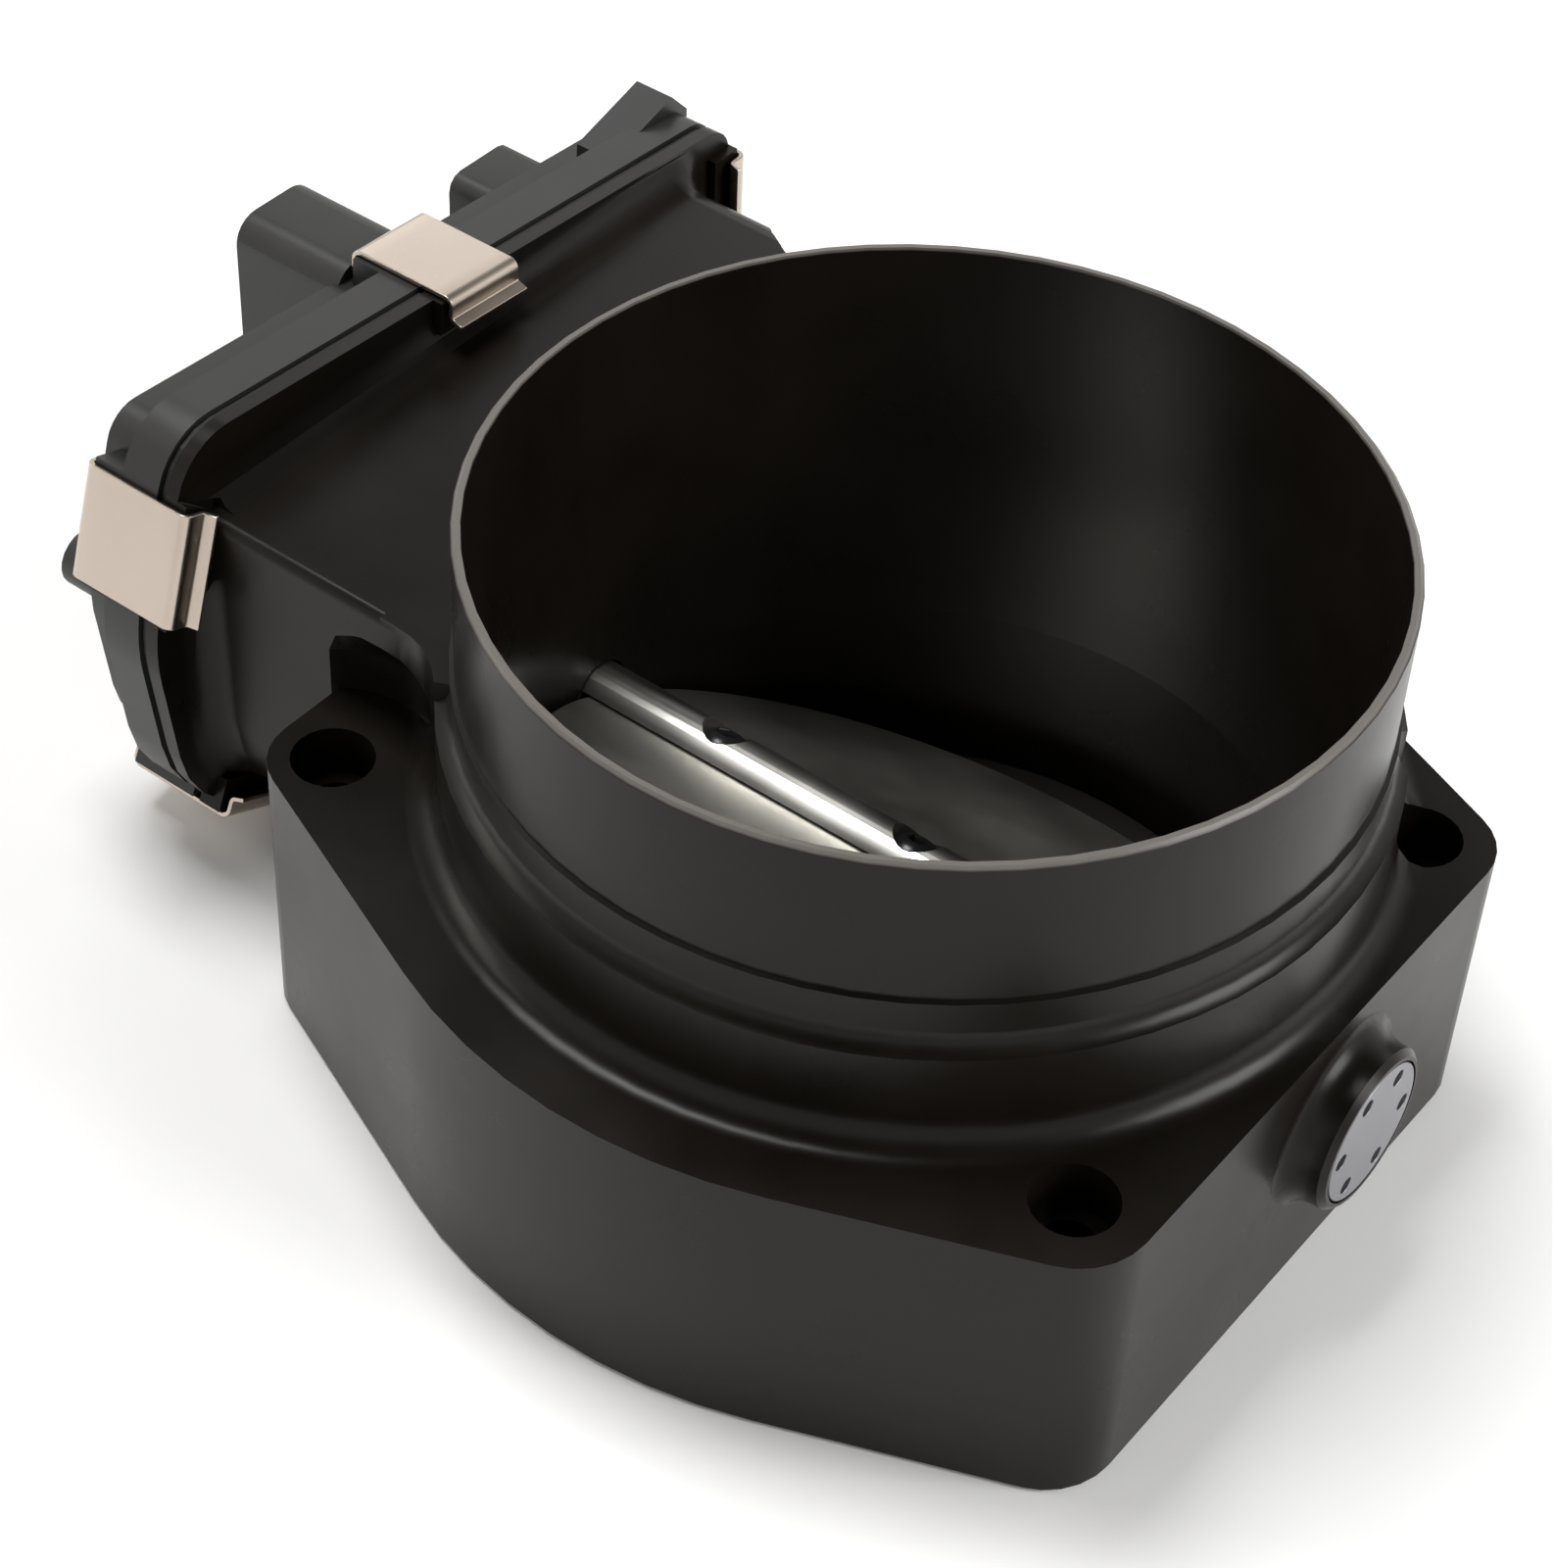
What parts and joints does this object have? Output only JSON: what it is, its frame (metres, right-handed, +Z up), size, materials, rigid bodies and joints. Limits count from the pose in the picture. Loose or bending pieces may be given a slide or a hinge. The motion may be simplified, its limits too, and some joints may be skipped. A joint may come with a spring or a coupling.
{
  "type": "throttle body",
  "caption": "Electronic throttle body with a stepped round bore, butterfly plate, flanged base and a clipped-on motor gear case with connector.",
  "frame": {"origin": "centre of the bore on the manifold face", "axes": "+Z up the bore towards the air inlet, +X along the throttle shaft from the gear case to the plain bearing end"},
  "size_m": [0.1934, 0.1474, 0.0825],
  "materials": {
    "anodised_black": "black-brown satin anodised, machined",
    "machined_aluminium": "clear anodised, satin",
    "shaft_steel": "ground",
    "plate_alloy": "rolled, dull grey",
    "screw_black": "black oxide",
    "cover_plastic": "fine moulded texture",
    "spring_steel_clip": "rolled stainless strip",
    "seal_rubber": "matte",
    "gear_nylon": "moulded, matte",
    "brass": "plain",
    "board_green": "lacquered"
  },
  "bodies": {
    "housing": {"throttle_housing": "anodised_black", "flange_o_ring": "seal_rubber", "end_cap": "machined_aluminium", "ball_bearing_outer_race": "shaft_steel", "needle_bearing": "shaft_steel", "shaft_seal_left": "seal_rubber", "shaft_seal_right": "seal_rubber", "return_spring": "shaft_steel", "idler_pin": "shaft_steel", "motor_can": "shaft_steel", "motor_plate": "shaft_steel", "motor_screw_1": "screw_black", "motor_screw_2": "screw_black", "gear_cover": "cover_plastic", "connector_pin_1": "brass", "connector_pin_2": "brass", "connector_pin_3": "brass", "connector_pin_4": "brass", "connector_pin_5": "brass", "connector_pin_6": "brass", "sensor_board": "board_green", "cover_gasket": "seal_rubber", "clip_front": "spring_steel_clip", "clip_top": "spring_steel_clip", "clip_back": "spring_steel_clip", "clip_bottom_front": "spring_steel_clip", "clip_bottom_back": "spring_steel_clip"},
    "throttle": {"throttle_shaft": "shaft_steel", "throttle_plate": "plate_alloy", "plate_screw_1": "screw_black", "plate_screw_2": "screw_black", "plate_screw_3": "screw_black", "ball_bearing_inner_race": "shaft_steel", "ball_bearing_ball_ring": "shaft_steel", "sector_gear": "gear_nylon"},
    "idler": {"idler_gear": "gear_nylon"},
    "motor_rotor": {"motor_shaft": "shaft_steel", "motor_pinion": "brass"}
  },
  "joints": [
    {"name": "throttle_turn", "type": "hinge", "parent": "housing", "child": "throttle", "pos_m": [0, 0, 0.0255], "axis": [-1, 0, 0], "range_deg": [-27, 57.5], "stiffness_Nm_per_rad": 0.05},
    {"name": "idler_turn", "type": "hinge", "parent": "housing", "child": "idler", "pos_m": [0, 0.02447, 0.03691], "axis": [-1, 0, 0], "range_deg": [-202, 95]},
    {"name": "motor_turn", "type": "hinge", "parent": "housing", "child": "motor_rotor", "pos_m": [0, 0.052, 0.02953], "axis": [-1, 0, 0], "range_deg": [-356, 756]}
  ],
  "couplings": [
    {"joint": "idler_turn", "follows": "throttle_turn", "ratio": -3.5},
    {"joint": "motor_turn", "follows": "throttle_turn", "ratio": 13.125}
  ]
}
